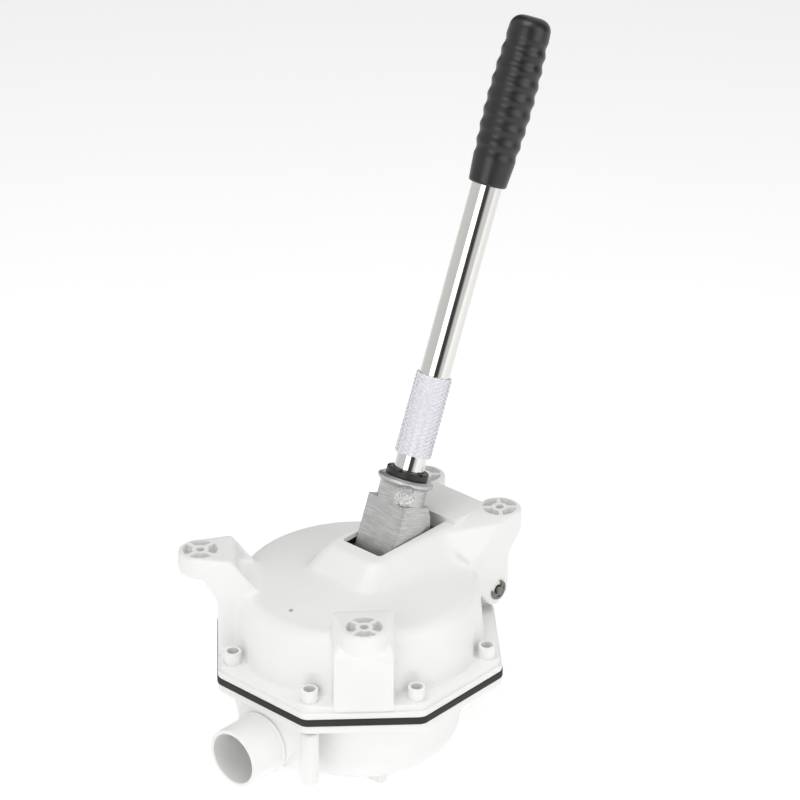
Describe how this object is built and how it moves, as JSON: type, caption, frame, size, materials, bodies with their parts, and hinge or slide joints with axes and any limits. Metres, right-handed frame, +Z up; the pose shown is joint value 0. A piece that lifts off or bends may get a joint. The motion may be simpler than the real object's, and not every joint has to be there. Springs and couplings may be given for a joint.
{
  "type": "manual diaphragm bilge pump",
  "caption": "Hand-operated diaphragm bilge pump: octagonal clamped housings, hooded lever slot, deck ears, in-line hose spigots and a removable ribbed handle.",
  "frame": {"origin": "middle of the foot ribs under the bowl, on the pump's vertical centreline", "axes": "+Z up towards the deck ears; +X along the hose line from inlet to outlet, on the side of the lever's pivot; the lever swings in the XZ plane"},
  "size_m": [0.281, 0.177, 0.4533],
  "materials": {
    "white_plastic": "bright white moulded plastic with a soft gloss",
    "black_rubber": "matt black moulded rubber",
    "cast_aluminium": "bare die-cast aluminium with a fine linished grain",
    "stainless_steel": "plain stainless steel",
    "dark_steel": "dark spring steel",
    "polished_tube": "polished stainless tube",
    "black_nylon": "black moulded nylon",
    "natural_nylon": "natural nylon",
    "white_net": "white knitted protective net",
    "black_grip": "satin black moulded grip"
  },
  "bodies": {
    "root": {"upper_housing": "white_plastic", "lower_housing": "white_plastic", "diaphragm": "black_rubber", "pivot_pin": "dark_steel", "pivot_bush_right": "natural_nylon", "pivot_bush_left": "natural_nylon", "pivot_clip_right": "dark_steel", "pivot_clip_left": "dark_steel", "inlet_spigot": "white_plastic", "outlet_spigot": "white_plastic", "inlet_valve_seat": "natural_nylon", "outlet_valve_seat": "natural_nylon", "inlet_flap_pin": "stainless_steel", "outlet_flap_pin": "stainless_steel", "flange_screw_1": "stainless_steel", "flange_screw_2": "stainless_steel", "flange_screw_3": "stainless_steel", "flange_screw_4": "stainless_steel", "flange_screw_5": "stainless_steel", "flange_screw_6": "stainless_steel", "flange_screw_7": "stainless_steel", "flange_screw_8": "stainless_steel", "flange_nut_1": "stainless_steel", "flange_nut_2": "stainless_steel", "flange_nut_3": "stainless_steel", "flange_nut_4": "stainless_steel", "flange_nut_5": "stainless_steel", "flange_nut_6": "stainless_steel", "flange_nut_7": "stainless_steel", "flange_nut_8": "stainless_steel"},
    "lever": {"lever_casting": "cast_aluminium", "socket_bush": "black_nylon"},
    "handle": {"handle_tube": "polished_tube", "handle_net": "white_net", "handle_grip": "black_grip"},
    "plates": {"diaphragm_top_plate": "cast_aluminium", "diaphragm_bottom_plate": "white_plastic", "diaphragm_bolt": "stainless_steel", "diaphragm_washer": "stainless_steel", "diaphragm_nut": "stainless_steel", "rod_pin": "stainless_steel", "rod_pin_clip": "dark_steel"},
    "inlet_valve": {"inlet_flap": "black_rubber"},
    "outlet_valve": {"outlet_flap": "black_rubber"}
  },
  "joints": [
    {"name": "lever_swing", "type": "hinge", "parent": "root", "child": "lever", "pos_m": [0.0805, 0, 0.099], "axis": [0, 1, 0], "range_deg": [-20, 12]},
    {"name": "diaphragm_lift", "type": "slide", "parent": "root", "child": "plates", "axis": [0, 0, 1], "range_m": [-0.028, 0.0168], "deforming": ["diaphragm"]},
    {"name": "handle_pull", "type": "slide", "parent": "lever", "child": "handle", "axis": [0.3849, 0, 0.9229], "range_m": [0, 0.028]},
    {"name": "inlet_flap_swing", "type": "hinge", "parent": "root", "child": "inlet_valve", "pos_m": [-0.0568, 0, 0.058], "axis": [0, -1, 0], "range_deg": [0, 35]},
    {"name": "outlet_flap_swing", "type": "hinge", "parent": "root", "child": "outlet_valve", "pos_m": [0.0657, 0, 0.058], "axis": [0, -1, 0], "range_deg": [0, 35]}
  ],
  "couplings": [
    {"joint": "diaphragm_lift", "follows": "lever_swing", "m_per_rad": 0.08}
  ]
}
